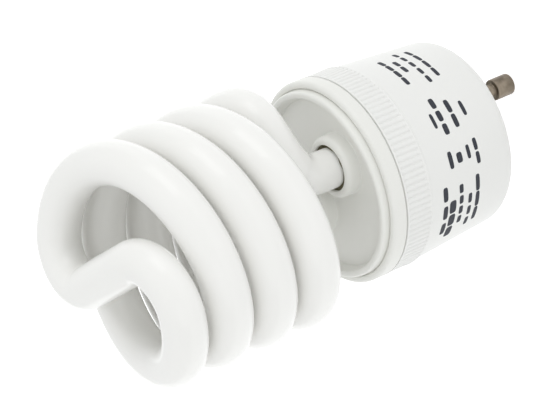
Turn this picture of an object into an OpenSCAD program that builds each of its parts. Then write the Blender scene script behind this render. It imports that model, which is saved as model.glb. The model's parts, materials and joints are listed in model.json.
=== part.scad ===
// Spiral compact fluorescent lamp with a built-in ballast and a two-pin twist-lock base.
// The origin is the centre of the base's flat rear face, and +Z runs along the lamp's axis
// to the front of the spiral, so the contact pins reach below z = 0.
// An azimuth of 0 points to -Y and grows towards +X.

/* [Glass tube] */
// Outside diameter of the glass tube
tube_d = 10.1; // [9.3:0.1:10.4]
// Outside diameter of the tube's legs, which are drawn a little narrower
leg_d = 9.3; // [8.6:0.1:9.6]
// Outside diameter of the spiral
spiral_d = 57; // [55.5:0.5:61]
// Rise along the axis from one pass of the tube to the next
pass_rise = 11.8; // [10.8:0.1:13]
// Passes of the tube down each side of the spiral
passes = 4; // [3:1:5]
// Height above the seam of the pass nearest to the cover
last_pass_rise = 21.7; // [21:0.1:26]
// Radius of the bend at each end of the bridge across the front
bridge_bend_r = 9; // [7:0.25:10]
// Azimuth that the bridge runs along as it crosses the axis
bridge_azimuth = 3; // [-15:1:15]
// Distance between the centres of the two tube legs
leg_span = 17; // [16:0.25:17.5]
// Azimuth of the first leg
leg_azimuth = 20; // [15:1:25]

/* [Base] */
// Diameter of the base at the seam
body_d = 48.3; // [47.5:0.1:50]
// Diameter of the base at its rear rim
rear_d = 44.4; // [43.5:0.1:45.5]
// Height of the base from the rear face to the seam
body_h = 34; // [33:0.5:38]
// Step from the tapered body out to the grip band
shoulder = 0.35; // [0.2:0.05:0.5]
// Radius of the rounded rear rim
rear_round = 4; // [2:0.5:5]
// Wall thickness of the base
wall = 2; // [1.6:0.1:2.2]
// Number of fine ribs in the grip band
rib_count = 108; // [72:4:132]
// Height of the ribs
rib_depth = 0.4; // [0.2:0.05:0.5]
// Length of the grip band along the axis
rib_band_h = 6.2; // [5:0.2:7]

/* [Cover] */
// Height of the recessed cover face above the seam
face_rise = 3; // [2.6:0.1:3.4]
// Height of the cover's raised lip above the seam
lip_rise = 5.4; // [4.8:0.1:5.8]
// Height of the cover's outer bead above the seam
bead_rise = 3.7; // [3.2:0.1:4]
// Diameter of the crest of the lip
lip_d = 42.7; // [42:0.1:43.2]
// Height of the collar round each tube leg, above the cover face
collar_h = 3.6; // [2.6:0.1:4]
// Width of the gap between a tube leg and its collar, filled with cement
cement_gap = 0.8; // [0.6:0.05:0.9]

/* [Contact pins] */
// Distance between the two pins
pin_span = 24; // [24:0.5:24]
// Azimuth of the first pin
pin_azimuth = 24; // [20:1:28]
// Diameter of the pin's neck
neck_d = 3; // [2.8:0.1:3.2]
// Diameter of the pin's head
head_d = 5; // [4.8:0.1:5.2]
// Length of a pin below the rear face
pin_length = 11; // [9:0.1:11.5]
// Length of the pin's head
head_h = 5; // [3.4:0.1:5.4]

/* [Ballast] */
// Depth of the circuit board's lower face below the seam
board_drop = 12; // [11:0.25:12]
// Thickness of the circuit board
board_t = 1.6; // [1.2:0.1:1.6]

/* [Hidden] */

tube_r = tube_d / 2;
stem_r = leg_d / 2;
coil_r = spiral_d / 2 - tube_r;
seam_z = body_h;
face_z = seam_z + face_rise;
face_t = 1.8;
collar_top = face_z + collar_h;
last_pass_z = seam_z + last_pass_rise;
first_pass_z = last_pass_z + (passes - 1) * pass_rise;
slope = pass_rise / (PI * coil_r);
leg_r = leg_span / 2;
leg_end_z = seam_z - 4.5;
hole_r = stem_r + cement_gap;
cement_h = 2.4;
body_r = body_d / 2;
inner_r = body_r - wall;
board_z = seam_z - board_drop;
board_top = board_z + board_t;
board_r = inner_r - 0.5;
floor_t = 2.2;
lead_r = 0.3;
lead_end = board_top + 1;
seat = 0.3;
tube_sides = 16;

// Helpers

function polar(r, azimuth, z) = [r * sin(azimuth), -r * cos(azimuth), z];
function unit(v) = v / norm(v);
function half_turn(p) = [-p[0], -p[1], p[2]];

// Points of an arc in the plane of a section, n steps from angle a0 to a1
function arc(cx, cy, r, a0, a1, n = 6) =
    [for (i = [0:n]) [cx + r * cos(a0 + (a1 - a0) * i / n), cy + r * sin(a0 + (a1 - a0) * i / n)]];

module bar(p, q, r) {
    axis = q - p;
    turn = acos(axis[2] / norm(axis));
    heading = atan2(axis[1], axis[0]);
    translate(p) rotate([0, turn, heading]) cylinder(h = norm(axis), r = r, $fn = 24);
}

// Centre line of the glass tube

// The first half starts in the middle of the bridge. It runs straight out, bends into the
// coil, winds down, turns inwards and drops down its leg into the cover.
bend_lag = asin(bridge_bend_r / (coil_r - bridge_bend_r));
coil_start = bridge_azimuth - bend_lag;
turn_lead = 10;
coil_end = -90 - (passes - 1) * 180 - turn_lead;
straight_l = sqrt(pow(coil_r - bridge_bend_r, 2) - pow(bridge_bend_r, 2));
bend_turn = 90 + bend_lag;
bridge_l = straight_l + bridge_bend_r * bend_turn * PI / 180;
coil_start_z = first_pass_z + pass_rise * (coil_start + 90) / 180;
bridge_top_z = coil_start_z + slope * bridge_l / 2;

function bridge_z(s) = bridge_top_z - slope * s * s / (2 * bridge_l);
function coil_z(azimuth) = first_pass_z + pass_rise * (azimuth + 90) / 180;

bridge_points = [for (i = [0:3]) polar(straight_l * i / 4, bridge_azimuth, bridge_z(straight_l * i / 4))];
bend_centre = polar(coil_r - bridge_bend_r, coil_start, 0);
bend_points = [
    for (i = [0:11])
        let (turned = bend_turn * i / 12, s = straight_l + bridge_bend_r * turned * PI / 180)
            bend_centre + polar(bridge_bend_r, bridge_azimuth + 90 - turned, bridge_z(s))
];

coil_steps = round((coil_start - coil_end) / 7);
coil_points = [
    for (i = [0:coil_steps])
        let (azimuth = coil_start + (coil_end - coil_start) * i / coil_steps)
            polar(coil_r, azimuth, coil_z(azimuth))
];

leg_azimuths = [for (side = [-90, 90]) coil_end + turn_lead + side + leg_azimuth];

// The turn into the leg is a cubic curve between the coil's heading and the leg's. The tube
// narrows along it from the coil's diameter to the leg's.
turn_start = coil_points[coil_steps];
turn_heading = -[cos(coil_end), sin(coil_end), slope];
leg_top = polar(leg_r, leg_azimuths[0], collar_top + 3.2);
turn_pull_coil = 34;
turn_pull_leg = 30;
function turn_point(t) =
    (2 * pow(t, 3) - 3 * pow(t, 2) + 1) * turn_start
    + (pow(t, 3) - 2 * pow(t, 2) + t) * turn_pull_coil * turn_heading
    + (3 * pow(t, 2) - 2 * pow(t, 3)) * leg_top
    + (pow(t, 3) - pow(t, 2)) * turn_pull_leg * [0, 0, -1];
turn_steps = 14;
turn_points = [for (i = [1:turn_steps]) turn_point(i / turn_steps)];
function turn_r(t) = tube_r + (stem_r - tube_r) * (3 * t * t - 2 * t * t * t);
leg_points = [for (z = [collar_top + 1.5, face_z, leg_end_z]) [leg_top[0], leg_top[1], z]];

half_path = concat(bridge_points, bend_points, coil_points, turn_points, leg_points);
half_n = len(half_path);
turn_from = half_n - len(leg_points) - turn_steps - 1;
half_radii = [for (i = [0:half_n - 1]) turn_r(min(max((i - turn_from) / turn_steps, 0), 1))];
tube_path = concat([for (i = [half_n - 1:-1:1]) half_turn(half_path[i])], half_path);
tube_radii = concat([for (i = [half_n - 1:-1:1]) half_radii[i]], half_radii);
tube_n = len(tube_path);

headings = [
    for (i = [0:tube_n - 1])
        unit(tube_path[min(i + 1, tube_n - 1)] - tube_path[max(i - 1, 0)])
];
// Each ring's side direction is the one before it, made square to the new heading
function squared(side, heading) = unit(side - (side * heading) * heading);
sides = [
    for (i = 0, side = squared([1, 0, 0], headings[0]); i < tube_n;
         i = i + 1, side = squared(side, headings[min(i, tube_n - 1)])) side
];
tube_points = [
    for (i = [0:tube_n - 1]) for (j = [0:tube_sides - 1])
        tube_path[i]
        + tube_radii[i] * cos(360 * j / tube_sides) * sides[i]
        + tube_radii[i] * sin(360 * j / tube_sides) * cross(headings[i], sides[i])
];
function ring_point(i, j) = i * tube_sides + j % tube_sides;
tube_faces = concat(
    [[for (j = [0:tube_sides - 1]) ring_point(0, j)]],
    [for (i = [0:tube_n - 2]) for (j = [0:tube_sides - 1])
        [ring_point(i, j), ring_point(i + 1, j), ring_point(i + 1, j + 1)]],
    [for (i = [0:tube_n - 2]) for (j = [0:tube_sides - 1])
        [ring_point(i, j), ring_point(i + 1, j + 1), ring_point(i, j + 1)]],
    [[for (j = [tube_sides - 1:-1:0]) ring_point(tube_n - 1, j)]]
);

module spiral_tube() {
    color("white") polyhedron(points = tube_points, faces = tube_faces, convexity = 12);
}

// Base and cover

// The tapered body stops under the grip band, whose ribs stand in a shallow recess
band_top = seam_z - 0.7;
band_z = band_top - rib_band_h;
core_r = body_r - rib_depth;
crest_r = body_r - 0.05;
valley_r = core_r + 0.05;
rear_r = rear_d / 2;

module base_outside() {
    rotate_extrude($fn = 180)
        polygon(concat(
            [[0, 0]],
            arc(rear_r - rear_round, rear_round, rear_round, -90, 0, 8),
            [[body_r - shoulder, band_z - 2 * shoulder], [body_r, band_z - shoulder],
             [body_r, band_z], [core_r, band_z], [core_r, band_top], [body_r, band_top],
             [body_r, seam_z - 0.25], [body_r - 0.25, seam_z], [0, seam_z]]
        ));
    translate([0, 0, band_z - 0.2])
        linear_extrude(band_top - band_z + 0.4)
            difference() {
                polygon([
                    for (i = [0:rib_count - 1]) for (k = [0:2])
                        let (a = 360 * (i + [0, 0.4, 0.7][k]) / rib_count, r = k == 2 ? valley_r : crest_r)
                            [r * cos(a), r * sin(a)]
                ]);
                circle(r = core_r - 0.5, $fn = 90);
            }
}

module base_cavity() {
    rotate_extrude($fn = 180)
        polygon([
            [0, floor_t], [rear_r - wall - 2.5, floor_t], [rear_r - wall, floor_t + 2.5],
            [inner_r, board_z - 1], [inner_r, seam_z + 1], [0, seam_z + 1]
        ]);
}

// Four posts stand on the floor and carry the board
post_angles = [2, 118, 245, 297];
post_in_r = board_r - 1.6;

module base_housing() {
    color("whitesmoke") difference() {
        union() {
            difference() {
                base_outside();
                base_cavity();
            }
            for (a = post_angles)
                rotate(a) translate([post_in_r, -1.1, floor_t / 2])
                    cube([inner_r + 0.4 - post_in_r, 2.2, board_z - floor_t / 2]);
            for (k = [0, 1])
                translate(polar(pin_span / 2, pin_azimuth + 180 * k, floor_t / 2))
                    cylinder(h = floor_t / 2 + 1.2, r = 3.4, $fn = 48);
        }
        for (k = [0, 1])
            translate(polar(pin_span / 2, pin_azimuth + 180 * k, -1))
                cylinder(h = floor_t + 4, r = neck_d / 2 + 0.03, $fn = 48);
    }
}

skirt_r = inner_r - 0.2;
lip_r = lip_d / 2;
collar_foot = face_z - face_t - 2.5;
bead_top = seam_z + bead_rise;
bead_r = 0.95;

module top_cover() {
    color("gainsboro") difference() {
        union() {
            rotate_extrude($fn = 180)
                polygon(concat(
                    [[0, face_z], [lip_r - 1.3, face_z], [lip_r - 0.85, face_z + 0.4]],
                    arc(lip_r, seam_z + lip_rise - 0.8, 0.8, 180, 0, 8),
                    [[lip_r + 0.85, bead_top - 0.6], [body_r - bead_r - 0.82, bead_top - 0.6]],
                    arc(body_r - bead_r, bead_top - bead_r, bead_r, 150, 0, 8),
                    [[body_r, seam_z + 0.25], [body_r - 0.25, seam_z], [skirt_r, seam_z],
                     [skirt_r, board_top], [skirt_r - 1.4, board_top], [skirt_r - 1.4, face_z - face_t],
                     [0, face_z - face_t]]
                ));
            for (a = leg_azimuths)
                translate(polar(leg_r, a, 0))
                    rotate_extrude($fn = 96)
                        polygon(concat(
                            [[hole_r - 0.5, collar_foot], [hole_r + 1.1, collar_foot],
                             [hole_r + 1.1, face_z - 1], [hole_r + 1.9, face_z - 0.5],
                             [hole_r + 1.9, face_z]],
                            arc(hole_r + 0.7, collar_top - 1.2, 1.2, 0, 90, 6),
                            [[hole_r - 0.5, collar_top]]
                        ));
        }
        for (a = leg_azimuths)
            translate(polar(leg_r, a, collar_foot - 1))
                cylinder(h = collar_top - collar_foot + 2, r = hole_r, $fn = 96);
    }
}

// The cement stands a little below the collar's edge, so a dark ring shows round the glass
module tube_cement(k) {
    color("darkolivegreen")
        translate(polar(leg_r, leg_azimuths[k], collar_top - 0.5 - cement_h))
            difference() {
                cylinder(h = cement_h, r = hole_r, $fn = 96);
                translate([0, 0, -1]) cylinder(h = cement_h + 2, r = stem_r, $fn = 96);
            }
}

// Contact pins

// A turned pin: head, neck, a shank through the floor, and a swaged collar inside
pin_top_z = floor_t + 3;
module contact_pin(k) {
    color("rosybrown")
        translate(polar(pin_span / 2, pin_azimuth + 180 * k, 0))
            rotate_extrude($fn = 64)
                polygon([
                    [0, -pin_length], [head_d / 2 - 0.5, -pin_length], [head_d / 2, -pin_length + 0.5],
                    [head_d / 2, head_h - pin_length - 0.3], [head_d / 2 - 0.3, head_h - pin_length],
                    [neck_d / 2, head_h - pin_length], [neck_d / 2, floor_t + 1.2],
                    [neck_d / 2 + 1, floor_t + 1.2], [neck_d / 2 + 1, floor_t + 2], [neck_d / 2, pin_top_z],
                    [lead_r + 0.25, pin_top_z], [lead_r + 0.25, pin_top_z - 2], [0, pin_top_z - 2]
                ]);
}

module pin_lead(k) {
    spot = polar(pin_span / 2, pin_azimuth + 180 * k, 0);
    color("silver") bar(spot + [0, 0, pin_top_z - 2], spot + [0, 0, lead_end], lead_r + 0.2);
}

// Circuit board

choke_at = [-8.8, -1.4];
ring_at = [0.6, 6.4];
smoothing_at = [9.5, 3.5];
resonant_at = [10.4, -4.5];
snubber_at = [1.6, -6];
transistor_at = [[9, -9.6], [1.6, -10.7]];
diode_at = [[0.1, -14.9], [7.8, 10.5], [-9, -8.8], [-6.4, 8.7]];
resistor_at = [[-8.6, 5.9], [-6, -12]];
fuse_at = [0.5, 13.9];
inductor_at = [1.2, -0.8];

core_w = 13;
core_y = 6;
core_h = 12;
core_yoke = 1.8;
core_limb = 2.8;
core_side = 1.8;
bobbin_wall = 0.6;
bobbin_fit = 0.05;

function pair(at, x, y = 0) = [at + [-x, -y], at + [x, y]];
choke_leads = [for (sx = [-1, 1]) for (sy = [-1, 1]) choke_at + [3.5 * sx, (core_y / 2 + 2.1) * sy]];
ring_leads = pair(ring_at + [0, 5.4], 1.4);
smoothing_leads = pair(smoothing_at, 2.5);
resonant_leads = pair(resonant_at, 3.75);
snubber_leads = pair(snubber_at, 2.5);
function transistor_leads(k) = [for (i = [-1:1]) transistor_at[k] + [1.27 * i, 0]];
function diode_leads(k) = pair(diode_at[k], 3.8);
function resistor_leads(k) = pair(resistor_at[k], 3.8);
fuse_leads = pair(fuse_at, 4.4);
inductor_leads = pair(inductor_at, 0, 2);

// Posts for the tube's filament wires stand on both sides of each leg
post_reach = 5.5;
function post_at(k) =
    let (leg = floor(k / 2), side = k % 2 == 0 ? -1 : 1, a = leg_azimuths[leg], c = polar(leg_r, a, 0))
        [c[0] + side * post_reach * cos(a), c[1] + side * post_reach * sin(a)];
post_r = 0.6;

component_leads = concat(
    choke_leads, ring_leads, smoothing_leads, resonant_leads, snubber_leads,
    transistor_leads(0), transistor_leads(1),
    [for (k = [0:3]) for (p = diode_leads(k)) p],
    [for (k = [0:1]) for (p = resistor_leads(k)) p],
    fuse_leads, inductor_leads
);

module circuit_board() {
    color("tan") difference() {
        translate([0, 0, board_z]) cylinder(h = board_t, r = board_r, $fn = 180);
        for (p = component_leads)
            translate([p[0], p[1], board_z - 1]) cylinder(h = board_t + 2, r = lead_r + 0.15, $fn = 24);
        for (k = [0:3])
            translate([post_at(k)[0], post_at(k)[1], board_z - 1])
                cylinder(h = board_t + 2, r = post_r + 0.03, $fn = 24);
        for (k = [0, 1])
            translate(polar(pin_span / 2, pin_azimuth + 180 * k, board_z - 1))
                cylinder(h = board_t + 2, r = lead_r + 0.35, $fn = 24);
    }
}

module filament_post(k) {
    color("silver")
        translate([post_at(k)[0], post_at(k)[1], board_z]) {
            cylinder(h = board_t, r = post_r, $fn = 24);
            translate([0, 0, board_t]) cylinder(h = 0.4, r = post_r + 0.5, $fn = 24);
            translate([0, 0, board_t]) cylinder(h = 4.2, r = post_r, $fn = 24);
        }
}

// A filament wire leaves the tube's end, drops, and runs across to its post
module filament_lead(k) {
    leg = floor(k / 2);
    side = k % 2 == 0 ? -1 : 1;
    a = leg_azimuths[leg];
    centre = polar(leg_r, a, 0);
    out = [side * cos(a), side * sin(a), 0];
    wire_z = board_top + 3;
    corner = centre + 2 * out + [0, 0, wire_z];
    color("silver") {
        bar(corner, centre + 2 * out + [0, 0, leg_end_z], lead_r);
        translate(corner) sphere(r = lead_r, $fn = 24);
        bar(corner, centre + (post_reach - post_r) * out + [0, 0, wire_z], lead_r);
    }
}

// Components under the board

// Straight wires from a component's seat up through the board
module leads(spots, from_z) {
    for (p = spots)
        translate([p[0], p[1], from_z]) cylinder(h = lead_end - from_z, r = lead_r, $fn = 24);
}

// A small part that lies along X under the board, with both its wires bent up
module axial_part(at, spots, body_l, body_r) {
    z = board_z - seat - body_r;
    translate([at[0] - body_l / 2, at[1], z]) rotate([0, 90, 0]) cylinder(h = body_l, r = body_r, $fn = 48);
    bar([spots[0][0], spots[0][1], z], [spots[1][0], spots[1][1], z], lead_r);
    leads(spots, z);
    for (p = spots)
        translate([p[0], p[1], z]) sphere(r = lead_r, $fn = 24);
}

// The choke's core has a limb through the bobbin and a window on each side of the limb
window_w = (core_w - core_limb) / 2 - core_side;
window_h = core_h - 2 * core_yoke;
choke_z = board_z - 1.6 - core_h;

module choke_core() {
    color("dimgray")
        translate([choke_at[0], choke_at[1], choke_z]) difference() {
            translate([-core_w / 2, -core_y / 2, 0]) cube([core_w, core_y, core_h]);
            for (side = [-1, 1])
                translate([side * (core_limb + window_w) / 2 - window_w / 2, -core_y, core_yoke])
                    cube([window_w, 2 * core_y, window_h]);
        }
}

// The bobbin fits round the limb and inside the windows, and its feet reach up to the board
bobbin_h = window_h - 2 * bobbin_fit;
bobbin_z = choke_z + core_yoke + bobbin_fit;
flange_t = 0.8;
hole_x = core_limb / 2 + bobbin_fit;
hole_y = core_y / 2 + bobbin_fit;
flange_x = core_limb / 2 + window_w - 0.2;
flange_y = core_y / 2 + 2.6;

module choke_bobbin() {
    color("khaki")
        translate([choke_at[0], choke_at[1], 0]) {
            difference() {
                union() {
                    translate([-hole_x - bobbin_wall, -hole_y - bobbin_wall, bobbin_z])
                        cube([2 * (hole_x + bobbin_wall), 2 * (hole_y + bobbin_wall), bobbin_h]);
                    for (z = [bobbin_z, bobbin_z + bobbin_h - flange_t])
                        translate([-flange_x, -flange_y, z]) cube([2 * flange_x, 2 * flange_y, flange_t]);
                }
                translate([-hole_x, -hole_y, choke_z]) cube([2 * hole_x, 2 * hole_y, core_h + 1]);
            }
            for (side = [-1, 1])
                translate([-flange_x, side * (core_y / 2 + 1.8) - 1.2, bobbin_z + bobbin_h - flange_t])
                    cube([2 * flange_x, 2.4, board_z - seat - bobbin_z - bobbin_h + flange_t]);
        }
    color("khaki") leads(choke_leads, board_z - 1);
}

module choke_winding() {
    h = bobbin_h - 2 * flange_t - 0.1;
    in_x = hole_x + bobbin_wall + bobbin_fit;
    in_y = hole_y + bobbin_wall + bobbin_fit;
    color("peru")
        translate([choke_at[0], choke_at[1], bobbin_z + flange_t + 0.05]) difference() {
            linear_extrude(h) offset(r = 1, $fn = 32)
                square([2 * flange_x - 2.2, 2 * flange_y - 2.8], center = true);
            translate([0, 0, -1]) linear_extrude(h + 2) square([2 * in_x, 2 * in_y], center = true);
        }
}

ring_z = board_z - seat - 4.4;
module ring_core() {
    color("darkslategray")
        translate([ring_at[0] - 1.4, ring_at[1], ring_z]) rotate([0, 90, 0])
            rotate_extrude($fn = 96) translate([2.3, 0]) square([1.6, 2.8]);
}

// The wire's turns form a sleeve round one side of the ring
module ring_winding() {
    wire_z = ring_z + 1.2;
    color("goldenrod") {
        translate([ring_at[0], ring_at[1], ring_z]) rotate([0, 90, 0])
            intersection() {
                rotate_extrude($fn = 96) difference() {
                    translate([1.8, -1.9]) square([2.6, 3.8]);
                    translate([2.25, -1.45]) square([1.7, 2.9]);
                }
                translate([0, 0, -3]) linear_extrude(6) polygon([[0, 0], [6, 7], [-6, 7]]);
            }
        for (p = ring_leads)
            bar([p[0], p[1], wire_z], [p[0], p[1] - 1.3, wire_z], lead_r);
        leads(ring_leads, wire_z - 0.1);
    }
}

// The smoothing capacitor is as long as the room above the floor allows
smoothing_room = 4.5;
module smoothing_capacitor() {
    h = board_z - seat - floor_t - smoothing_room;
    color("midnightblue") {
        translate([smoothing_at[0], smoothing_at[1], board_z - seat - h])
            rotate_extrude($fn = 96)
                polygon([[0, 0.3], [3.9, 0.3], [4.2, 0], [4.7, 0], [5, 0.4], [5, h - 2.2], [4.7, h - 1.8],
                         [4.7, h - 1.3], [5, h - 0.9], [5, h - 0.3], [4.6, h], [0, h]]);
        leads(smoothing_leads, board_z - 1);
    }
}

module film_capacitor(at, spots, size) {
    translate([at[0], at[1], board_z - seat - size[2]]) linear_extrude(size[2])
        offset(r = 0.6, $fn = 24) square([size[0] - 1.2, size[1] - 1.2], center = true);
    leads(spots, board_z - 1);
}

module resonant_capacitor() {
    color("firebrick") film_capacitor(resonant_at, resonant_leads, [10, 4.5, 10]);
}

module snubber_capacitor() {
    color("darkgreen") film_capacitor(snubber_at, snubber_leads, [7, 3.5, 7]);
}

module transistor(k) {
    color("black") {
        translate([transistor_at[k][0], transistor_at[k][1], board_z - 7.5]) linear_extrude(4.8)
            intersection() {
                circle(r = 2.4, $fn = 48);
                translate([-2.4, -1.2]) square([4.8, 3.6]);
            }
        leads(transistor_leads(k), board_z - 3.5);
    }
}

module diode(k) {
    color("black") axial_part(diode_at[k], diode_leads(k), 5.2, 1.35);
}

module resistor(k) {
    color("wheat") axial_part(resistor_at[k], resistor_leads(k), 6.3, 1.15);
}

module fuse_resistor() {
    color("seagreen") axial_part(fuse_at, fuse_leads, 7, 1.4);
}

module filter_inductor() {
    z = board_z - seat - 8;
    color("dimgray") {
        translate([inductor_at[0], inductor_at[1], z])
            rotate_extrude($fn = 64)
                polygon([[0, 0], [2.7, 0], [2.7, 1.2], [2.3, 1.2],
                         [2.3, 6.6], [2.7, 6.6], [2.7, 8], [0, 8]]);
        leads(inductor_leads, board_z - 1);
    }
}

spiral_tube();
top_cover();
base_housing();
tube_cement(0);  // tube_cement_1
tube_cement(1);  // tube_cement_2
contact_pin(0);  // contact_pin_1
contact_pin(1);  // contact_pin_2
pin_lead(0);  // pin_lead_1
pin_lead(1);  // pin_lead_2
circuit_board();
filament_post(0);  // filament_post_1
filament_post(1);  // filament_post_2
filament_post(2);  // filament_post_3
filament_post(3);  // filament_post_4
filament_lead(0);  // filament_lead_1
filament_lead(1);  // filament_lead_2
filament_lead(2);  // filament_lead_3
filament_lead(3);  // filament_lead_4
choke_core();
choke_bobbin();
choke_winding();
ring_core();
ring_winding();
smoothing_capacitor();
resonant_capacitor();
snubber_capacitor();
transistor(0);  // transistor_1
transistor(1);  // transistor_2
diode(0);  // diode_1
diode(1);  // diode_2
diode(2);  // diode_3
diode(3);  // diode_4
resistor(0);  // resistor_1
resistor(1);  // resistor_2
fuse_resistor();
filter_inductor();
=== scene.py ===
# %% [markdown]
# # A spiral compact fluorescent lamp
# The lamp is a white glass tube wound into a double helix, held by a plastic cover on a
# ribbed ballast base with two headed contact pins. The solid model gives every place and
# size. This file makes the surfaces that the eye sees: smooth glass, moulded plastic,
# plated pins, and light and a camera like those of a plain product photograph.

# %% Load the solid model
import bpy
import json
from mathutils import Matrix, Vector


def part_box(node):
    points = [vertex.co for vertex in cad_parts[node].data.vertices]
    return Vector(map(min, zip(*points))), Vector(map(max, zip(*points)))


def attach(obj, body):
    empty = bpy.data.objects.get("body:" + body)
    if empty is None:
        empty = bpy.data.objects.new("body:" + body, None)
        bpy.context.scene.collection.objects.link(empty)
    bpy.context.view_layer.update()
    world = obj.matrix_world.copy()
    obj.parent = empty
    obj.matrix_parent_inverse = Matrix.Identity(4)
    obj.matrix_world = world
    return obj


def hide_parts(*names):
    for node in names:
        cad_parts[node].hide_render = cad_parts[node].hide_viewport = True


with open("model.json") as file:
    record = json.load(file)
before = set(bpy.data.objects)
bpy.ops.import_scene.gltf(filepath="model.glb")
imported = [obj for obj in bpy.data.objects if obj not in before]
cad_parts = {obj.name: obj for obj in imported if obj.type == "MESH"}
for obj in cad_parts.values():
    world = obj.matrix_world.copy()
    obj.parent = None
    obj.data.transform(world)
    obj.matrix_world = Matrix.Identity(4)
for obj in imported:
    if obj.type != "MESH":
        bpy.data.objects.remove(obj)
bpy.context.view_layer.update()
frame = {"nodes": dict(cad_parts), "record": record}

# %% [markdown]
# ## Units and measured places
# All lengths here are in metres. The few driving sizes are those of the solid model, and
# heights are read from its boxes where it has them, so the two stay in step. The tube is
# 0.07 mm slimmer in radius, so that it lies inside the flat faces of the solid one.

# %% Driving sizes
import json
import math

import bpy
import numpy as np
from mathutils import Matrix, Vector
from mathutils.geometry import tessellate_polygon

MM = 0.001
tube_r = 4.98 * MM
stem_r = 4.65 * MM
coil_r = 23.45 * MM
pass_rise = 11.8 * MM
passes = 4
leg_r = 8.5 * MM
leg_azimuth = 20
body_r = 24.15 * MM
rear_r = 22.2 * MM
seam_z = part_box("base_housing")[1][2]
FACE_RISE = 3
COLLAR_RISE = 3.6
face_z = seam_z + FACE_RISE * MM
collar_top = face_z + COLLAR_RISE * MM
pin_tip_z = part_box("contact_pin_1")[0][2]
tube_end_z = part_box("spiral_tube")[0][2]
print("seam at", round(seam_z / MM, 2), "mm, pin tips at", round(pin_tip_z / MM, 2), "mm")

# %% [markdown]
# ## The camera
# The photograph looks as if taken from far off with a long lens. The camera looks at the side of the
# lamp from 30 degrees above the level of its seam, and is rolled so that the base points up
# and to the right. The lens follows from the size of the seam in the picture.

# %% Place the camera
PICTURE_W = 560
PICTURE_H = 420
SEAM_PIXEL = (340, 178)
PIXELS_PER_MM = 4.43
camera_distance = 700 * MM
camera_elevation = math.radians(30)
axis_tilt = math.radians(23.0)

toward_camera = Vector((0, -math.cos(camera_elevation), math.sin(camera_elevation)))
axis_in_view = Vector((0, math.sin(camera_elevation), math.cos(camera_elevation)))
side_in_view = Vector((1, 0, 0))
picture_right = -math.cos(axis_tilt) * axis_in_view - math.sin(axis_tilt) * side_in_view
picture_up = -math.sin(axis_tilt) * axis_in_view + math.cos(axis_tilt) * side_in_view

seam_centre = Vector((0, 0, seam_z))
right_mm = (PICTURE_W / 2 - SEAM_PIXEL[0]) / PIXELS_PER_MM
up_mm = (SEAM_PIXEL[1] - PICTURE_H / 2) / PIXELS_PER_MM
eye = seam_centre + toward_camera * camera_distance
eye += picture_right * right_mm * MM + picture_up * up_mm * MM

camera_data = bpy.data.cameras.new("camera")
camera_data.sensor_width = 36
camera_data.lens = PIXELS_PER_MM * camera_distance / MM / PICTURE_W * camera_data.sensor_width
camera_data.clip_start = 0.01
camera_data.clip_end = 20
camera = bpy.data.objects.new("camera", camera_data)
turn = Matrix((picture_right, picture_up, toward_camera)).transposed()
camera.matrix_world = Matrix.Translation(eye) @ turn.to_4x4()
bpy.context.scene.collection.objects.link(camera)
bpy.context.scene.camera = camera
print("lens", round(camera_data.lens, 1), "mm")

# %% [markdown]
# ## Surfaces from arrays
# Most pieces of this lamp are either turned or extruded along a path. Both are a grid of
# points with two parameters, so one helper turns any such grid into a closed mesh.

# %% A grid becomes a mesh
def grid_faces(rows, columns, wrap_rows):
    """Quads of a grid: corner (i, j) joins (i, j+1), (i+1, j+1) and (i+1, j); columns wrap round."""
    last = rows if wrap_rows else rows - 1
    i, j = np.meshgrid(np.arange(last), np.arange(columns), indexing="ij")
    i2, j2 = (i + 1) % rows, (j + 1) % columns
    corners = [i * columns + j, i * columns + j2, i2 * columns + j2, i2 * columns + j]
    return np.stack(corners, -1).reshape(-1, 4)


def enclosed_volume(points, quads):
    """Sum over the faces of the signed volume of the tetrahedra that they make with the origin."""
    a, b, c, d = (points[quads[:, k]] for k in range(4))
    first = np.einsum("ij,ij->i", a, np.cross(b, c)).sum()
    second = np.einsum("ij,ij->i", a, np.cross(c, d)).sum()
    return (first + second) / 6


def outward(points, quads):
    """The shell with its faces turned outward, which is where its enclosed volume is positive."""
    if enclosed_volume(points, quads) < 0:
        quads = quads[:, ::-1]
    return points, quads


def join_shells(shells):
    """Stacks (points, quads) shells into one pair, each shell's quads shifted by the points before it."""
    starts = np.cumsum([0] + [len(p) for p, _ in shells[:-1]])
    points = np.concatenate([p for p, _ in shells])
    quads = np.concatenate([q + s for (_, q), s in zip(shells, starts)])
    return points, quads


# %% A mesh becomes a piece
import bmesh


def make_piece(name, shells, node_names, smooth_angle=40):
    """A mesh object from closed shells, welded at its poles and shaded smooth under a given angle."""
    points, quads = join_shells(shells)
    mesh = bpy.data.meshes.new(name)
    mesh.vertices.add(len(points))
    mesh.vertices.foreach_set("co", points.astype(np.float32).ravel())
    mesh.loops.add(quads.size)
    mesh.loops.foreach_set("vertex_index", quads.astype(np.int32).ravel())
    mesh.polygons.add(len(quads))
    mesh.polygons.foreach_set("loop_start", np.arange(0, quads.size, 4, dtype=np.int32))
    mesh.update(calc_edges=True)
    work = bmesh.new()
    work.from_mesh(mesh)
    bmesh.ops.remove_doubles(work, verts=work.verts, dist=1e-7)
    bmesh.ops.dissolve_degenerate(work, edges=work.edges, dist=1e-8)
    work.to_mesh(mesh)
    work.free()
    mesh.shade_smooth()
    mesh.set_sharp_from_angle(angle=math.radians(smooth_angle))
    piece = bpy.data.objects.new(name, mesh)
    bpy.context.scene.collection.objects.link(piece)
    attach(piece, "root")
    if node_names:
        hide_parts(*node_names)
    print(name, "has", len(mesh.polygons), "faces")
    return piece


# %% [markdown]
# ## Turned profiles
# A moulding or a turned pin has a section whose corners are all rounded a little. The section
# is written as its corner points with a radius at each, and an arc takes each corner's place.

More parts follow.
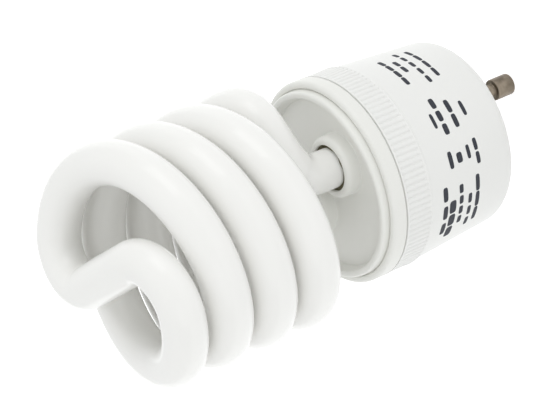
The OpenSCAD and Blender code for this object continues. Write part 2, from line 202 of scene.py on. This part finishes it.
# %% Rounded sections
def rounded_section(corners, steps=6):
    """Points of a closed section. Each (r, z, radius) corner becomes an arc that touches both sides:
    it starts and ends radius / tan(half the corner's angle) away from the corner."""
    found = []
    n = len(corners)
    for k, (r, z, radius) in enumerate(corners):
        here = np.array([r, z])
        if radius == 0:
            found.append(here[None])
            continue
        before = np.array(corners[k - 1][:2]) - here
        after = np.array(corners[(k + 1) % n][:2]) - here
        before, after = before / np.linalg.norm(before), after / np.linalg.norm(after)
        half = math.acos(np.clip(before @ after, -1, 1)) / 2
        middle = (before + after) / np.linalg.norm(before + after)
        centre = here + middle * radius / math.sin(half)
        start = here + before * radius / math.tan(half) - centre
        end = here + after * radius / math.tan(half) - centre
        a0, a1 = math.atan2(start[1], start[0]), math.atan2(end[1], end[0])
        a1 = a0 + (a1 - a0 + math.pi) % (2 * math.pi) - math.pi
        a = np.linspace(a0, a1, steps + 1)
        found.append(centre + radius * np.stack([np.cos(a), np.sin(a)], -1))
    return np.concatenate(found)


def turned(section, segments=256, centre=(0, 0), closed=True):
    """Points (r sin a, -r cos a, z) for each section point (r, z) and azimuth a, as one closed shell."""
    a = np.linspace(0, 2 * math.pi, segments, endpoint=False)
    r, z = section[:, :1], section[:, 1:]
    points = np.stack([centre[0] + r * np.sin(a), centre[1] - r * np.cos(a), z + 0 * a], -1)
    quads = grid_faces(len(section), segments, wrap_rows=closed)
    return outward(points.reshape(-1, 3), quads)


def polar(r, azimuth, z=0.0):
    """Azimuth 0 is -Y and grows towards +X, in degrees."""
    a = np.radians(azimuth)
    return np.stack(np.broadcast_arrays(r * np.sin(a), -r * np.cos(a), z), -1)


# %% [markdown]
# ## The glass tube
# One tube of glass is bent in the middle, wound down as a double helix and turned in at both
# ends. Half of its centre line is enough, because the other half is the same turned by 180
# degrees about the lamp's axis. It is a straight piece over the front, a bend, the helix, a
# cubic curve that turns in, and a straight leg. The tube narrows a little as it turns in.

# %% Centre line of the tube
BEND_R = 9 * MM
BRIDGE_AZIMUTH = 3
LAST_PASS_RISE = 21.7 * MM
TURN_LEAD = 10
LEG_CLEAR = 3.2 * MM
TURN_PULL_COIL = 34 * MM
TURN_PULL_LEG = 30 * MM


def half_centre_line():
    """Straight, arc, helix, cubic and straight stretch, with the tube's radius at each point. On
    the bridge the height falls with the square of the way run, so that it meets the helix at
    the helix's own slope. On the cubic the radius eases from the coil's to the leg's."""
    lag = math.degrees(math.asin(BEND_R / (coil_r - BEND_R)))
    straight = math.sqrt((coil_r - BEND_R) ** 2 - BEND_R ** 2)
    bend = BEND_R * math.radians(90 + lag)
    slope = pass_rise / (math.pi * coil_r)
    first_z = seam_z + LAST_PASS_RISE + (passes - 1) * pass_rise
    start = BRIDGE_AZIMUTH - lag
    start_z = first_z + pass_rise * (90 + start) / 180

    run = np.linspace(0, straight, 16, endpoint=False)
    bridge = polar(run, BRIDGE_AZIMUTH)
    way = np.linspace(0, 1, 44, endpoint=False)
    arc = polar(coil_r - BEND_R, start) + polar(BEND_R, BRIDGE_AZIMUTH + 90 - (90 + lag) * way)
    front = np.concatenate([bridge, arc])
    s = np.concatenate([run, straight + bend * way])
    front[:, 2] = start_z + slope * (straight + bend) / 2 - slope * s ** 2 / (2 * (straight + bend))

    end = -90 - (passes - 1) * 180 - TURN_LEAD
    azimuth = np.linspace(start, end, 290)
    coil = polar(coil_r, azimuth, first_z + pass_rise * (azimuth + 90) / 180)

    a = math.radians(end)
    heading = -np.array([math.cos(a), math.sin(a), slope])
    leg_top = polar(leg_r, end + TURN_LEAD - 90 + leg_azimuth, collar_top + LEG_CLEAR)
    down = np.array([0, 0, -1])
    t = np.linspace(0, 1, 61)[1:, None]
    turn_in = (2 * t ** 3 - 3 * t ** 2 + 1) * coil[-1]
    turn_in = turn_in + (t ** 3 - 2 * t ** 2 + t) * TURN_PULL_COIL * heading
    turn_in = turn_in + (3 * t ** 2 - 2 * t ** 3) * leg_top
    turn_in = turn_in + (t ** 3 - t ** 2) * TURN_PULL_LEG * down

    heights = np.linspace(leg_top[2], tube_end_z, 12)[1:]
    leg = np.stack(np.broadcast_arrays(leg_top[0], leg_top[1], heights), -1)
    eased = tube_r + (stem_r - tube_r) * (3 * t[:, 0] ** 2 - 2 * t[:, 0] ** 3)
    wound = np.full(len(front) + len(coil), tube_r)
    radius = np.concatenate([wound, eased, np.full(len(leg), stem_r)])
    return np.concatenate([front, coil, turn_in, leg]), radius


half_line, half_radius = half_centre_line()
other_half = half_line[:0:-1] * np.array([-1, -1, 1])
centre_line = np.concatenate([other_half, half_line])
tube_radius = np.concatenate([half_radius[:0:-1], half_radius])
length = np.linalg.norm(np.diff(centre_line, axis=0), axis=1).sum()
print("the tube is", round(length / MM), "mm long on its centre line")

# %% [markdown]
# A ring of points is carried along the line. Its first direction comes from a guide that is
# made square to the heading: the lamp's own axis where the tube winds, and the direction away
# from that axis where the tube runs steeply down. A smooth weight passes from one guide to the
# other, so the ring never flips. The passes are drawn a little deeper along the axis than those
# of the solid model, which leaves narrow gaps between them like those in the photograph.

# %% Sweep the tube
PASS_DEPTH = 0.05


def swept(line, radius, sides=48):
    """At each point the ring is centre + radius (depth cos b * side + sin b * up), side and up
    square to the heading. Depth is 1 on the bridge and the legs and 1 + PASS_DEPTH on the passes."""
    z = line[:, 2] / MM
    depth = 1 + PASS_DEPTH * np.clip((95 - z) / 5, 0, 1) * np.clip((z - 50) / 6, 0, 1)
    heading = np.gradient(line, axis=0)
    heading /= np.linalg.norm(heading, axis=1)[:, None]
    steep = np.clip((np.abs(heading[:, 2]) - 0.5) / 0.4, 0, 1)[:, None]
    radial = line * np.array([1, 1, 0])
    radial /= np.linalg.norm(radial, axis=1)[:, None] + 1e-9
    guide = (1 - steep) * np.array([0, 0, 1]) + steep * radial
    side = guide - (guide * heading).sum(1)[:, None] * heading
    side /= np.linalg.norm(side, axis=1)[:, None]
    up = np.cross(heading, side)
    b = np.linspace(0, 2 * math.pi, sides, endpoint=False)[None, :, None]
    r = np.broadcast_to(radius, len(line))[:, None, None]
    deep_side = side * depth[:, None]
    points = line[:, None] + r * (np.cos(b) * deep_side[:, None] + np.sin(b) * up[:, None])
    points = points.reshape(-1, 3)
    return outward(points, grid_faces(len(line), sides, wrap_rows=False))


# The ends shrink to a point, as a sealed tube's ends do inside the cover
closed_line = np.concatenate([centre_line[:1], centre_line, centre_line[-1:]])
closed_line[0, 2] -= 1e-9
closed_line[-1, 2] -= 1e-9
closed_radius = np.concatenate([[0], tube_radius, [0]])
tube_shell = swept(closed_line, closed_radius)
glass_tube = make_piece("glass_tube", [tube_shell], ["spiral_tube"], 60)

# %% [markdown]
# ## The cover
# The cover is one moulding: an outer bead over the seam, a groove, a raised lip, a flat face
# sunk inside it, and a round collar for each leg. The ring is turned from its section. The
# face is a flat plate with two round holes, and each collar is a turned ring with a soft top.

# %% Section of the cover's ring
def mm_section(corners, steps=6):
    """A rounded section whose corners are given in millimetres above the seam."""
    return rounded_section([(r * MM, seam_z + z * MM, c * MM) for r, z, c in corners], steps)


PLATE_R = 19.85
cover_ring = mm_section([
    (PLATE_R - 0.6, 2.9, 0), (PLATE_R, 2.9, 0.35), (PLATE_R + 0.75, 5.36, 0.75),
    (22.14, 5.36, 0.75), (22.2, 3.1, 0.12), (22.36, 3.1, 0.08), (22.5, 3.68, 0.5),
    (24.13, 3.66, 1.0), (24.13, 0.0, 0.28),
    (21.85, 0.0, 0), (21.85, -10.0, 0), (20.55, -10.0, 0), (20.55, 1.2, 0), (PLATE_R - 0.6, 1.2, 0),
], 8)
cover_shells = [turned(cover_ring, 320)]

# %% The plate with its two holes
COLLAR_IN = 5.45 * MM
leg_spots = [polar(leg_r, leg_azimuth + k * 180) for k in (0, 1)]


def holed_plate(radius, holes, hole_r, low, high):
    """A flat plate: a triangulated disc with holes at both heights, and a wall along each outline."""
    def circle(centre, r, n):
        return np.asarray(centre)[:3] + polar(r, np.arange(n) * 360 / n)
    loops = [circle((0, 0, 0), radius, 320)] + [circle(h, hole_r, 96)[::-1] for h in holes]
    flat = np.concatenate(loops)
    triangles = np.array(tessellate_polygon([[Vector(p) for p in loop] for loop in loops]))
    n = len(flat)
    points = np.concatenate([flat + [0, 0, low], flat + [0, 0, high]])
    a, b, c = (flat[triangles[:, k]] for k in range(3))
    upward = np.cross(b - a, c - a)[:, 2] > 0
    triangles = np.where(upward[:, None], triangles, triangles[:, ::-1])
    top = np.stack([triangles[:, 0], triangles[:, 1], triangles[:, 2], triangles[:, 2]], -1) + n
    bottom = top[:, ::-1] - n
    walls = []
    start = 0
    for loop in loops:
        i = np.arange(len(loop))
        j = (i + 1) % len(loop)
        walls.append(start + np.stack([i, j, j + n, i + n], -1))
        start += len(loop)
    return points, np.concatenate([top, bottom] + walls)


PLATE_T = 1.8 * MM
plate = holed_plate((PLATE_R - 0.05) * MM, leg_spots, COLLAR_IN, face_z - PLATE_T, face_z)
cover_shells.append(plate)

# %% The collars
collar_section = [
    (5.45, 0.0, 0), (7.9, 2.9, 0), (7.9, 2.96, 0),
    (7.3, 3.05, 0.3), (7.2, 6.6, 1.25), (5.45, 6.6, 0.35),
]
for spot in leg_spots:
    section = mm_section(collar_section, 8)
    cover_shells.append(turned(section, 128, centre=spot[:2]))
cover = make_piece("cover", cover_shells, ["top_cover"], 35)

# %% [markdown]
# ## Cement round the legs
# A dark cement holds each leg in its collar. It sits a little below the collar's edge and has
# an uneven top, which climbs the glass here and there.

# %% The cement rings
def cement_ring(centre, seed):
    """A turned ring of rows (radius, height, share of the wave). The wave is a sum of four sines
    round the leg, and the share grows towards the glass."""
    a = np.linspace(0, 2 * math.pi, 128, endpoint=False)
    rng = np.random.default_rng(seed)
    wave = sum(rng.uniform(0.05, 0.12) * np.sin(k * a + rng.uniform(0, 6)) for k in (2, 3, 5, 8))
    rows = np.array([
        (5.47, 3.8, 0), (5.47, 5.9, 0.6), (5.1, 5.8, 0.9), (4.8, 5.9, 1.0), (4.6, 6.1, 1.0), (4.6, 3.8, 0),
    ])
    r, height, share = rows[:, 0:1] * MM, rows[:, 1:2], rows[:, 2:3]
    z = seam_z + (height + share * wave) * MM
    points = np.stack([centre[0] + r * np.sin(a), centre[1] - r * np.cos(a), z + 0 * a], -1).reshape(-1, 3)
    return outward(points, grid_faces(len(rows), 128, wrap_rows=True))


cement_pieces = []
for k, spot in enumerate(leg_spots):
    ring = cement_ring(spot[:2], 4 + k)
    cement_pieces.append(make_piece(f"leg_cement_{k + 1}", [ring], [f"tube_cement_{k + 1}"]))

# %% [markdown]
# ## The ballast base
# The base is a tapered cup with a rounded rear rim and a band of fine ribs behind the seam.
# It is a turned shape too, but in the band the radius also changes with the azimuth: each rib
# is a flat crest with a narrow rounded groove beside it.

# %% The base with its ribs
RIBS = 108
BAND_LOW = 27.1 * MM
BAND_HIGH = 33.3 * MM
RIB_DEPTH = 0.4 * MM
SEAM_GROOVE = 0.3 * MM
SHOULDER = 0.35 * MM
REAR_ROUND = 4 * MM
TAPER = (body_r - SHOULDER - rear_r) / (BAND_LOW - 2 * SHOULDER - REAR_ROUND)


def side_radius(z):
    """Radius of the tapered side: the rear radius where the rounded rim ends, growing at an even rate."""
    return rear_r + TAPER * (z - REAR_ROUND)


def base_shell(segments=8 * RIBS):
    """r(z, a) = section radius - depth * band(z) * groove(a), with band and groove between 0 and 1."""
    section = rounded_section([
        (0, 0, 0), (side_radius(0), 0, REAR_ROUND), (body_r - SHOULDER, BAND_LOW - 2 * SHOULDER, 0.3 * MM),
        (body_r, BAND_LOW - SHOULDER, 0.2 * MM), (body_r, seam_z - SEAM_GROOVE, 0.12 * MM),
        (body_r - 0.6 * MM, seam_z - SEAM_GROOVE, 0), (body_r - 0.6 * MM, seam_z, 0),
        (22.15 * MM, seam_z, 0), (22.15 * MM, 21 * MM, 0), (20.2 * MM, 4.7 * MM, 0),
        (17.7 * MM, 2.2 * MM, 0), (0, 2.2 * MM, 0),
    ], 10)
    edge = np.flatnonzero((section[:, 1] < BAND_LOW) & (section[:, 0] >= body_r - 1e-6))[-1] + 1
    heights = np.array([0, 0.12, 0.3, 0.5]) * MM
    band_z = np.concatenate([BAND_LOW + heights, BAND_HIGH - heights[::-1]])
    band = np.stack([np.full(len(band_z), body_r), band_z], -1)
    section = np.concatenate([section[:edge], band, section[edge:]])
    depth = np.zeros(len(section))
    ramp = np.array([0, 0.6, 0.95, 1, 1, 0.95, 0.6, 0])
    depth[edge:edge + 8] = ramp * RIB_DEPTH
    a = np.linspace(0, 2 * math.pi, segments, endpoint=False)
    phase = (a * RIBS / (2 * math.pi)) % 1
    groove = np.clip(1.25 - np.abs(phase - 0.5) / 0.22, 0, 1)
    groove = 0.25 + 0.75 * groove * groove * (3 - 2 * groove)
    r = section[:, :1] - depth[:, None] * groove
    points = np.stack([r * np.sin(a), -r * np.cos(a), section[:, 1:] + 0 * a], -1).reshape(-1, 3)
    return outward(points, grid_faces(len(section), segments, wrap_rows=False))


base = make_piece("ballast_base", [base_shell()], ["base_housing"], 50)

# %% [markdown]
# ## The contact pins
# Each pin is turned from brass rod and plated: a slim neck and a wider head with a chamfer, by
# which the holder grips it. A small shoulder seats it on the rear face.

# %% The two pins
PIN_AZIMUTH = 24
PIN_CIRCLE_R = 12 * MM
tip = pin_tip_z / MM
pin_section = rounded_section([
    (r * MM, z * MM, c * MM) for r, z, c in [
        (0, tip, 0), (2.5, tip, 0.45), (2.5, tip + 5.0, 0.25), (1.5, tip + 5.0, 0.2),
        (1.5, 3.4, 0), (2.5, 3.4, 0), (2.5, 4.2, 0), (1.5, 4.2, 0), (1.5, 5.2, 0), (0, 5.2, 0),
    ]
], 6)
pins = []
for k in (0, 1):
    spot = polar(PIN_CIRCLE_R, PIN_AZIMUTH + 180 * k)
    shell = turned(pin_section, 96, centre=spot[:2], closed=False)
    pins.append(make_piece(f"pin_{k + 1}", [shell], [f"contact_pin_{k + 1}"]))

# %% [markdown]
# ## Printed marks
# Plain dark bars are printed on the side of the base, in rows that make up four groups. Each
# bar is a very thin slab that follows the curved side.

# %% Bars of ink
def ink_slab(azimuth, z, width, height, thick=0.03 * MM, sunk=0.2 * MM):
    """A closed slab on the tapered side. Its outline is a rounded box, |x|^4 + |y|^4 = 1 scaled to
    size, and its inner face is sunk in the plastic so that no gap shows."""
    b = np.linspace(0, 2 * math.pi, 28, endpoint=False)
    x = np.sign(np.cos(b)) * np.abs(np.cos(b)) ** 0.5 * width / 2
    y = np.sign(np.sin(b)) * np.abs(np.sin(b)) ** 0.5 * height / 2
    layers = []
    for lift, shrink in ((-sunk, 0.0), (-sunk, 1.0), (thick, 1.0), (thick, 0.0)):
        zz = z + y * shrink
        r = side_radius(zz) + lift
        layers.append(polar(r, azimuth + np.degrees(x * shrink / side_radius(z)), zz))
    points = np.concatenate(layers)
    return outward(points, grid_faces(len(layers), len(b), wrap_rows=False))


# %% Four groups of marks
# Each row of a group: height, azimuth where it starts and ends, length of a bar, its thickness
INK_ROWS = [
    (11.1, 65, 33, 2.9, 1.0), (14.1, 67, 30, 2.2, 1.0),
    (17.0, 57, 43, 2.4, 1.1), (19.6, 62, 34, 2.6, 1.1),

    (11.0, 16, 3, 3.6, 1.0), (14.4, 18, 0, 3.2, 1.3),
    (17.8, 22, -2, 2.6, 1.4), (20.0, 14, 3, 3.6, 0.9),

    (11.6, -8, -24, 2.8, 1.1), (14.0, -10, -19, 3.2, 1.0),
    (16.8, -12, -19, 2.4, 1.6), (19.4, -9, -21, 4.0, 1.2),

    (12.6, -29, -62, 4.2, 1.2), (14.9, -38, -64, 2.6, 1.1), (17.6, -30, -58, 2.2, 1.2),
    (20.2, -38, -66, 3.4, 2.0), (22.4, -27, -62, 3.6, 1.4),
]


def row_slabs(height, start, end, bar, thickness):
    """As many bars as fit at even steps from start to end, with about a third of a bar between."""
    row_length = abs(math.radians(end - start)) * side_radius(height * MM) / MM
    count = max(1, round((row_length + bar / 3) / (bar * 4 / 3)))
    middles = start + (end - start) * (np.arange(count) + 0.5) / count
    width = min(bar, row_length)
    return [ink_slab(m, height * MM, width * MM, thickness * MM) for m in middles]


ink_shells = [slab for row in INK_ROWS for slab in row_slabs(*row)]
ink = make_piece("printed_marks", ink_shells, [])

# %% [markdown]
# ## Materials
# Moulded plastic is never quite even: its surface has a fine grain from the tool, and its
# gloss changes over the piece. One group of nodes gives both, and each plastic uses it with
# its own scale and strength.

# %% A group for surface variation
def variation_group():
    """Two noises on Object coordinates: a broad one that shifts tint and gloss, a fine one for relief."""
    group = bpy.data.node_groups.new("surface variation", "ShaderNodeTree")
    face = group.interface
    face.new_socket("Broad Scale", in_out="INPUT", socket_type="NodeSocketFloat").default_value = 60
    face.new_socket("Fine Scale", in_out="INPUT", socket_type="NodeSocketFloat").default_value = 1500
    face.new_socket("Colour A", in_out="INPUT", socket_type="NodeSocketColor")
    face.new_socket("Colour B", in_out="INPUT", socket_type="NodeSocketColor")
    face.new_socket("Gloss Low", in_out="INPUT", socket_type="NodeSocketFloat").default_value = 0.3
    face.new_socket("Gloss High", in_out="INPUT", socket_type="NodeSocketFloat").default_value = 0.4
    face.new_socket("Colour", in_out="OUTPUT", socket_type="NodeSocketColor")
    face.new_socket("Roughness", in_out="OUTPUT", socket_type="NodeSocketFloat")
    face.new_socket("Height", in_out="OUTPUT", socket_type="NodeSocketFloat")
    nodes, links = group.nodes, group.links
    given, result = nodes.new("NodeGroupInput"), nodes.new("NodeGroupOutput")
    place = nodes.new("ShaderNodeTexCoord")
    broad, fine = nodes.new("ShaderNodeTexNoise"), nodes.new("ShaderNodeTexNoise")
    broad.inputs["Detail"].default_value = 3
    fine.inputs["Detail"].default_value = 2
    for noise, scale in ((broad, "Broad Scale"), (fine, "Fine Scale")):
        links.new(place.outputs["Object"], noise.inputs["Vector"])
        links.new(given.outputs[scale], noise.inputs["Scale"])
    tint = nodes.new("ShaderNodeMix")
    tint.data_type = "RGBA"
    links.new(broad.outputs["Fac"], tint.inputs[0])
    links.new(given.outputs["Colour A"], tint.inputs[6])
    links.new(given.outputs["Colour B"], tint.inputs[7])
    gloss = nodes.new("ShaderNodeMapRange")
    links.new(broad.outputs["Fac"], gloss.inputs["Value"])
    links.new(given.outputs["Gloss Low"], gloss.inputs["To Min"])
    links.new(given.outputs["Gloss High"], gloss.inputs["To Max"])
    links.new(tint.outputs[2], result.inputs["Colour"])
    links.new(gloss.outputs["Result"], result.inputs["Roughness"])
    links.new(fine.outputs["Fac"], result.inputs["Height"])
    return group


variation = variation_group()


# %% A material with variation
def varied_material(name, colour_a, colour_b, gloss, broad=60, fine=1500, relief=0.00002, **plain):
    """A Principled material fed by the group. Plain numbers go to the shader's own sockets."""
    material = bpy.data.materials.new(name)
    material.use_nodes = True
    nodes, links = material.node_tree.nodes, material.node_tree.links
    shader = nodes["Principled BSDF"]
    group = nodes.new("ShaderNodeGroup")
    group.node_tree = variation
    group.inputs["Broad Scale"].default_value = broad
    group.inputs["Fine Scale"].default_value = fine
    group.inputs["Colour A"].default_value = (*colour_a, 1)
    group.inputs["Colour B"].default_value = (*colour_b, 1)
    group.inputs["Gloss Low"].default_value = gloss[0]
    group.inputs["Gloss High"].default_value = gloss[1]
    bump = nodes.new("ShaderNodeBump")
    bump.inputs["Strength"].default_value = 0.4
    bump.inputs["Distance"].default_value = relief
    links.new(group.outputs["Colour"], shader.inputs["Base Color"])
    links.new(group.outputs["Roughness"], shader.inputs["Roughness"])
    links.new(group.outputs["Height"], bump.inputs["Height"])
    links.new(bump.outputs["Normal"], shader.inputs["Normal"])
    for socket, value in plain.items():
        shader.inputs[socket.replace("_", " ")].default_value = value
    return material


def dress(piece, material):
    piece.data.materials.clear()
    piece.data.materials.append(material)


# %% [markdown]
# The white of the tube is a powder coating on the inside of clear glass. So the colour is soft
# and matt, and the gloss comes from a clear layer on top: the shader's coat.

# %% Coated glass
coated_glass = varied_material(
    "coated glass", (0.86, 0.855, 0.825), (0.90, 0.895, 0.865), (0.42, 0.52),
    broad=35, fine=220, relief=0.00003, Coat_Weight=0.55, Coat_Roughness=0.12, IOR=1.5,
)
dress(glass_tube, coated_glass)
print("glass tube dressed in", coated_glass.name)

# %% [markdown]
# The base and the cover are moulded from the same off-white plastic. The cover's colour is made a shade
# greyer: painted shade, for the shade that its sunk face lies in. Both have a satin surface with a very fine
# grain.

# %% Moulded plastics
base_plastic = varied_material(
    "base plastic", (0.82, 0.82, 0.795), (0.85, 0.85, 0.825), (0.36, 0.46),
    broad=50, fine=2600, relief=0.00001,
)
# The cover's two colours are a shade greyer than the base's: painted shade for its face.
cover_plastic_painted_shade = varied_material(
    "cover plastic, painted shade", (0.80, 0.80, 0.76), (0.84, 0.84, 0.80), (0.4, 0.5),
    broad=70, fine=2400, relief=0.00001,
)
dress(base, base_plastic)
dress(cover, cover_plastic_painted_shade)

# %% [markdown]
# The cement is dull and dark, between olive and brown. The ink is blue-black and a little
# uneven.

# %% Cement and ink
cement = varied_material(
    "leg cement", (0.09, 0.085, 0.045), (0.16, 0.14, 0.08), (0.8, 0.95),
    broad=700, fine=3000, relief=0.0001,
)
for ring in cement_pieces:
    dress(ring, cement)
ink_film = varied_material(
    "blue-black ink", (0.004, 0.006, 0.012), (0.012, 0.016, 0.03), (0.55, 0.7),
    broad=900, fine=4000, relief=0.000005,
)
dress(ink, ink_film)

# %% [markdown]
# The pins are a dull brownish metal with darker tarnish, and turning has left fine rings round
# the axis. A noise that is squeezed along the axis gives those rings.

# %% Plated pins
def plated_metal(name, bright, worn):
    """Metal whose noise is stretched 40 times round the axis, for turning marks and tarnish."""
    material = bpy.data.materials.new(name)
    material.use_nodes = True
    nodes, links = material.node_tree.nodes, material.node_tree.links
    shader = nodes["Principled BSDF"]
    shader.inputs["Metallic"].default_value = 1
    place, mapping = nodes.new("ShaderNodeTexCoord"), nodes.new("ShaderNodeMapping")
    mapping.inputs["Scale"].default_value = (100, 100, 4000)
    rings, stain = nodes.new("ShaderNodeTexNoise"), nodes.new("ShaderNodeTexNoise")
    rings.inputs["Scale"].default_value = 1
    stain.inputs["Scale"].default_value = 420
    links.new(place.outputs["Object"], mapping.inputs["Vector"])
    links.new(mapping.outputs["Vector"], rings.inputs["Vector"])
    links.new(place.outputs["Object"], stain.inputs["Vector"])
    tint = nodes.new("ShaderNodeMix")
    tint.data_type = "RGBA"
    tint.inputs[6].default_value = (*bright, 1)
    tint.inputs[7].default_value = (*worn, 1)
    links.new(stain.outputs["Fac"], tint.inputs[0])
    gloss = nodes.new("ShaderNodeMapRange")
    gloss.inputs["To Min"].default_value = 0.22
    gloss.inputs["To Max"].default_value = 0.5
    bump = nodes.new("ShaderNodeBump")
    bump.inputs["Distance"].default_value = 0.00002
    links.new(rings.outputs["Fac"], gloss.inputs["Value"])
    links.new(rings.outputs["Fac"], bump.inputs["Height"])
    links.new(tint.outputs[2], shader.inputs["Base Color"])
    links.new(gloss.outputs["Result"], shader.inputs["Roughness"])
    links.new(bump.outputs["Normal"], shader.inputs["Normal"])
    return material


pin_metal = plated_metal("plated pin", (0.38, 0.32, 0.25), (0.04, 0.033, 0.024))
for pin in pins:
    dress(pin, pin_metal)

# %% [markdown]
# ## What is inside
# The ballast is hidden by the base, but it is part of the lamp, so each of its pieces gets the
# finish of the real one: laminate, ferrite, lacquer, sleeve, epoxy and tinned wire.

# %% Finishes of the ballast
tinned_wire = plated_metal("tinned wire", (0.72, 0.72, 0.70), (0.5, 0.5, 0.48))
# Each finish: slot, name, two colours, gloss, broad and fine scale of its variation, relief
FINISHES = [
    ("winding", "enamelled wire", (0.45, 0.16, 0.05), (0.62, 0.27, 0.1), (0.25, 0.4), 900, 4000, 4e-5),
    ("circuit_board", "paper laminate", (0.42, 0.27, 0.12), (0.52, 0.36, 0.18), (0.5, 0.65), 120, 2000, 2e-5),
    ("ferrite", "ferrite", (0.035, 0.035, 0.04), (0.07, 0.07, 0.075), (0.5, 0.75), 500, 3000, 5e-5),
    ("choke_bobbin", "bobbin plastic", (0.62, 0.52, 0.3), (0.7, 0.6, 0.38), (0.4, 0.55), 200, 2500, 2e-5),
    ("smoothing_capacitor", "shrink sleeve", (0.012, 0.018, 0.07), (0.03, 0.04, 0.12), (0.2, 0.3),
     200, 900, 2e-5),
    ("resonant_capacitor", "red dip", (0.40, 0.05, 0.03), (0.5, 0.09, 0.05), (0.2, 0.32), 250, 700, 2e-5),
    ("snubber_capacitor", "green dip", (0.03, 0.2, 0.07), (0.05, 0.28, 0.1), (0.2, 0.32), 250, 700, 2e-5),
    ("semiconductor", "moulded epoxy", (0.012, 0.012, 0.013), (0.03, 0.03, 0.032), (0.45, 0.6),
     400, 3000, 2e-5),
    ("resistor", "beige lacquer", (0.6, 0.45, 0.26), (0.68, 0.53, 0.33), (0.3, 0.4), 300, 1500, 2e-5),
    ("fuse_resistor", "green lacquer", (0.12, 0.3, 0.2), (0.18, 0.38, 0.26), (0.3, 0.4), 300, 1500, 2e-5),
]
ballast_finishes = {slot: varied_material(*finish) for slot, *finish in FINISHES}
ballast_finishes["lead_wire"] = tinned_wire
slot_of = {part["node"]: part["material_slot"] for part in frame["record"]["subparts"]}
dressed = [name for name in frame["nodes"] if slot_of[name] in ballast_finishes]
for name in dressed:
    dress(frame["nodes"][name], ballast_finishes[slot_of[name]])
print(len(dressed), "pieces of the ballast dressed")

# %% [markdown]
# ## Floor and light
# The lamp stands on its pins on a white floor. For the rays that look at it the floor adds
# light of its own, so it comes out white. At this strength no more than a trace of the lamp's
# shadow can be seen. A smaller FLOOR_LIFT brings the shadow back.

# %% Rays that look
def looking_rays(nodes, links):
    """A socket that is 1 for camera, mirror and transmission rays, which see the backdrop, else 0."""
    path, either, any_of = (nodes.new(f"ShaderNode{kind}") for kind in ("LightPath", "Math", "Math"))
    links.new(path.outputs["Is Camera Ray"], either.inputs[0])
    links.new(path.outputs["Is Glossy Ray"], either.inputs[1])
    links.new(either.outputs[0], any_of.inputs[0])
    links.new(path.outputs["Is Transmission Ray"], any_of.inputs[1])
    return any_of.outputs[0]


# %% The floor
FLOOR_LIFT = 0.7


def studio_floor(size=6.0):
    """A flat square just under the pin tips, with a little light of its own for the looking rays."""
    mesh = bpy.data.meshes.new("floor")
    h = size / 2
    z = pin_tip_z - 0.00002
    mesh.from_pydata([(-h, -h, z), (h, -h, z), (h, h, z), (-h, h, z)], [], [(0, 1, 2, 3)])
    floor = bpy.data.objects.new("floor", mesh)
    bpy.context.scene.collection.objects.link(floor)
    material = bpy.data.materials.new("white floor")
    material.use_nodes = True
    nodes, links = material.node_tree.nodes, material.node_tree.links
    shader = nodes["Principled BSDF"]
    shader.inputs["Base Color"].default_value = (0.85, 0.85, 0.85, 1)
    shader.inputs["Roughness"].default_value = 0.9
    shader.inputs["Specular IOR Level"].default_value = 0.1
    shader.inputs["Emission Color"].default_value = (1, 1, 1, 1)
    lift = nodes.new("ShaderNodeMath")
    lift.operation = "MULTIPLY"
    lift.inputs[1].default_value = FLOOR_LIFT
    links.new(looking_rays(nodes, links), lift.inputs[0])
    links.new(lift.outputs[0], shader.inputs["Emission Strength"])
    dress(floor, material)
    return floor


floor = studio_floor()

# %% [markdown]
# Most of the light is an even fill from the world, like that inside a white tent, so the
# shading is soft and the gaps between the passes stay light. A soft key panel beyond the top
# of the picture brightens the side of the base, and a weaker one lights the other side. The
# cover faces away from the key and comes out greyer.

# %% Lamps and world
def panel(name, direction, distance, size, power):
    """A square area lamp that looks at the middle of the spiral from a given direction."""
    data = bpy.data.lights.new(name, "AREA")
    data.size = size
    data.energy = power
    lamp = bpy.data.objects.new(name, data)
    aim = Vector((0, 0, 50 * MM))
    way = Vector(direction).normalized()
    lamp.location = aim + way * distance
    lamp.rotation_mode = "QUATERNION"
    lamp.rotation_quaternion = way.to_track_quat("Z", "Y")
    bpy.context.scene.collection.objects.link(lamp)
    return lamp


FILL_STRENGTH = 0.92
panel("key panel", (0.78, -0.60, 0.10), 0.8, 0.5, 1.1)
panel("side panel", (-0.75, -0.55, 0.35), 0.9, 0.6, 0.6)

world = bpy.data.worlds.new("studio")
bpy.context.scene.world = world
world.use_nodes = True
world_nodes, world_links = world.node_tree.nodes, world.node_tree.links
background = world_nodes["Background"]
background.inputs["Color"].default_value = (0.98, 0.99, 1.0, 1)
strength = world_nodes.new("ShaderNodeMapRange")
strength.inputs["To Min"].default_value = FILL_STRENGTH
strength.inputs["To Max"].default_value = 1.0
world_links.new(looking_rays(world_nodes, world_links), strength.inputs["Value"])
world_links.new(strength.outputs["Result"], background.inputs["Strength"])
bpy.context.scene.view_settings.view_transform = "Standard"
